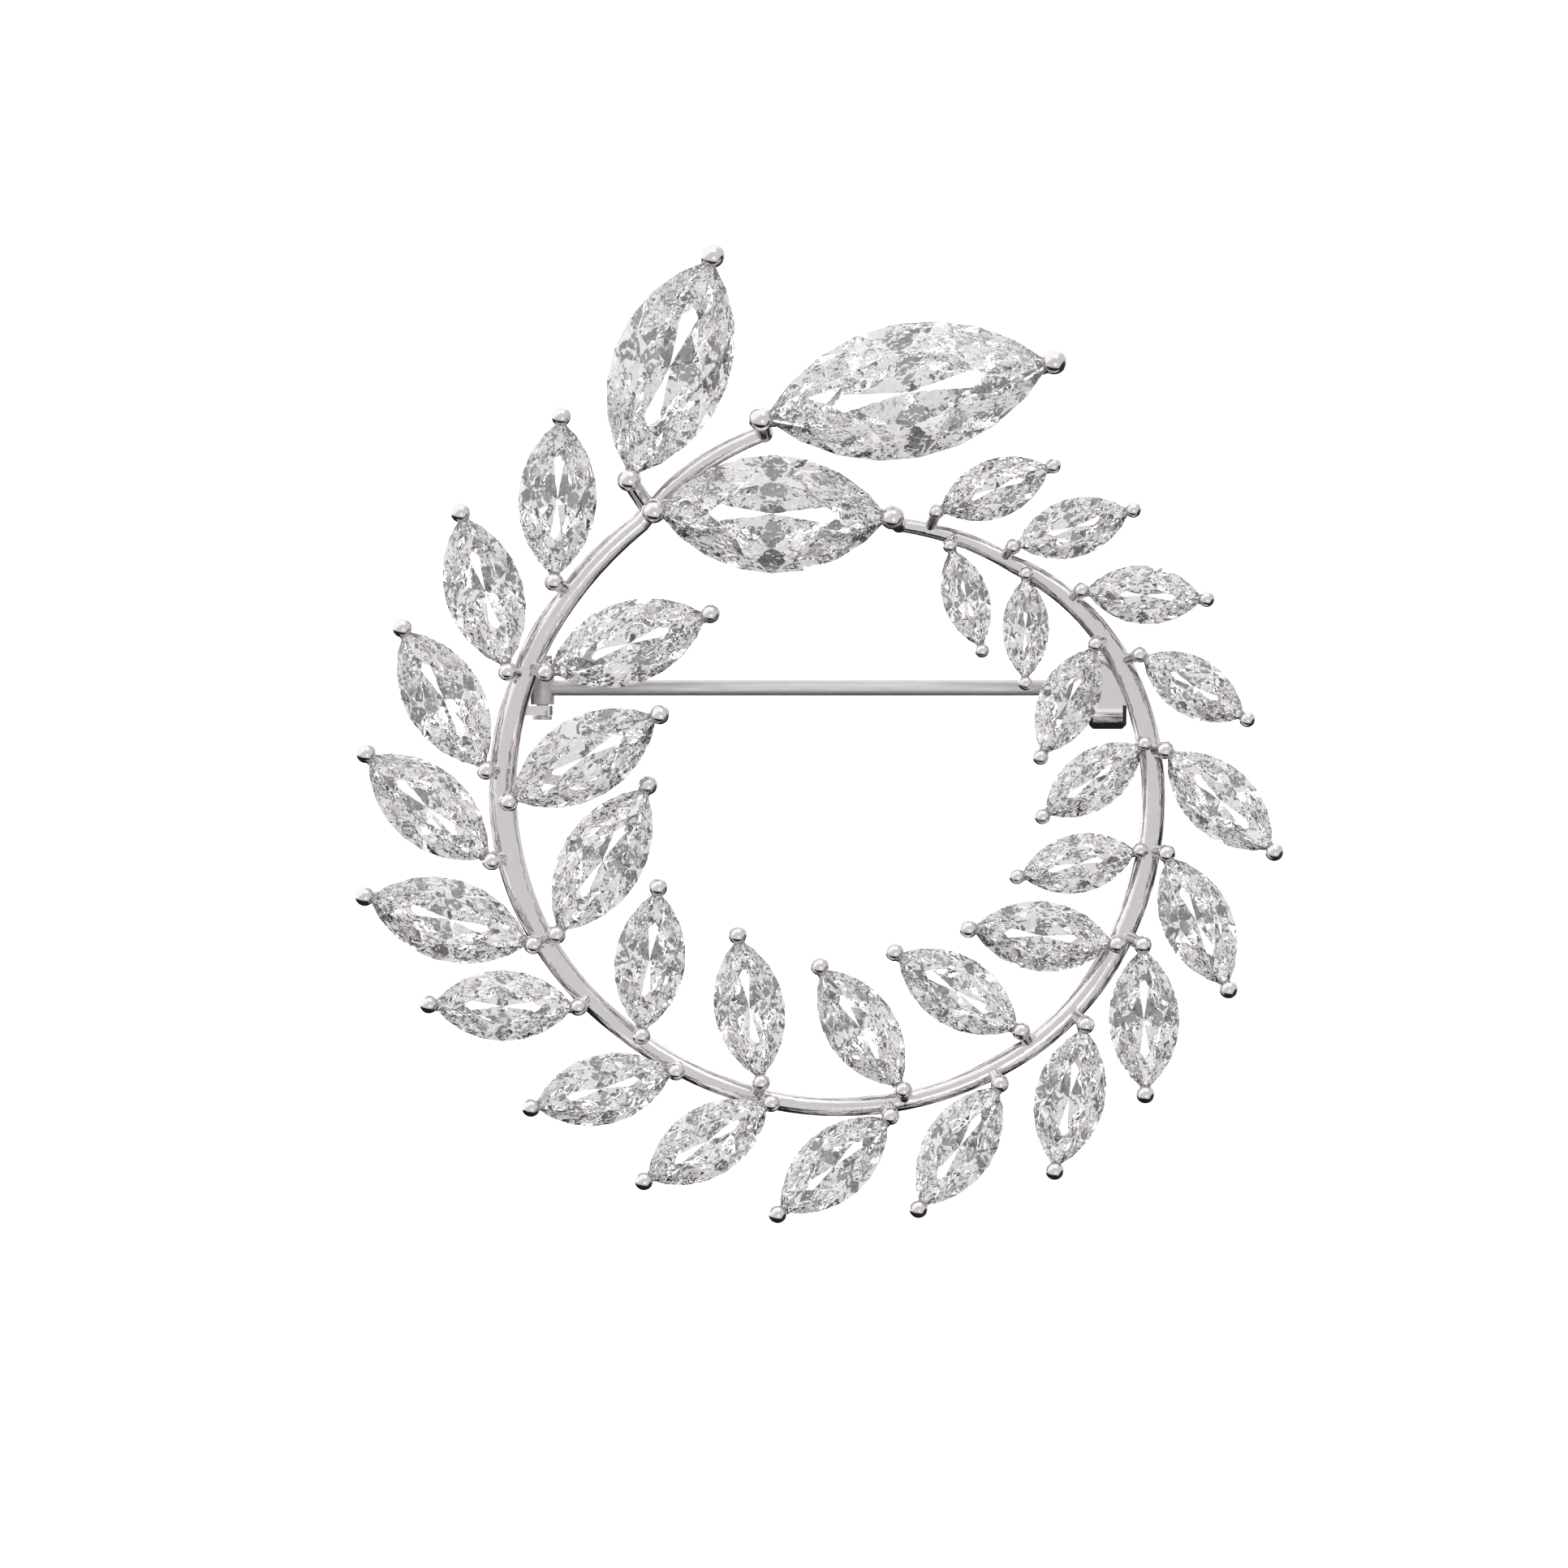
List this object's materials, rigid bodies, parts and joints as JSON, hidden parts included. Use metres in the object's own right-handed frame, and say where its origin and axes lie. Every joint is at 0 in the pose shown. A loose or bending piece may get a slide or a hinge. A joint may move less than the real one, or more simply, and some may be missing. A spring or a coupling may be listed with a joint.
{
  "type": "leaf wreath brooch",
  "caption": "Open wreath brooch: a tapered wire ring with marquise stones set as leaves on both sides, large ones at the top, and a hinged pin on the back.",
  "frame": {"origin": "middle of the brooch's outline in plan, at the lowest point of its back", "axes": "the brooch lies face up: +Z out of its front, +Y towards the large leaves at the top, +X to the viewer's right"},
  "size_m": [0.0468, 0.0494, 0.007],
  "materials": {
    "metal": "brass with polished rhodium plating",
    "stone": "clear faceted cubic zirconia"
  },
  "bodies": {
    "brooch": {"wreath_frame": "metal", "hinge_rivet": "metal", "outer_stone_01": "stone", "outer_stone_02": "stone", "outer_stone_03": "stone", "outer_stone_04": "stone", "outer_stone_05": "stone", "outer_stone_06": "stone", "outer_stone_07": "stone", "outer_stone_08": "stone", "outer_stone_09": "stone", "outer_stone_10": "stone", "outer_stone_11": "stone", "outer_stone_12": "stone", "outer_stone_13": "stone", "outer_stone_14": "stone", "outer_stone_15": "stone", "outer_stone_16": "stone", "outer_stone_17": "stone", "outer_stone_18": "stone", "inner_stone_01": "stone", "inner_stone_02": "stone", "inner_stone_03": "stone", "inner_stone_04": "stone", "inner_stone_05": "stone", "inner_stone_06": "stone", "inner_stone_07": "stone", "inner_stone_08": "stone", "inner_stone_09": "stone", "inner_stone_10": "stone", "inner_stone_11": "stone", "inner_stone_12": "stone", "inner_stone_13": "stone", "top_stone": "stone", "crest_stone": "stone", "centre_stone": "stone"},
    "pin": {"needle": "metal"}
  },
  "joints": [
    {"name": "needle_swing", "type": "hinge", "parent": "brooch", "child": "pin", "pos_m": [-0.014, 0.00233, 0.0012], "axis": [0, 1, 0], "range_deg": [0, 100]}
  ]
}
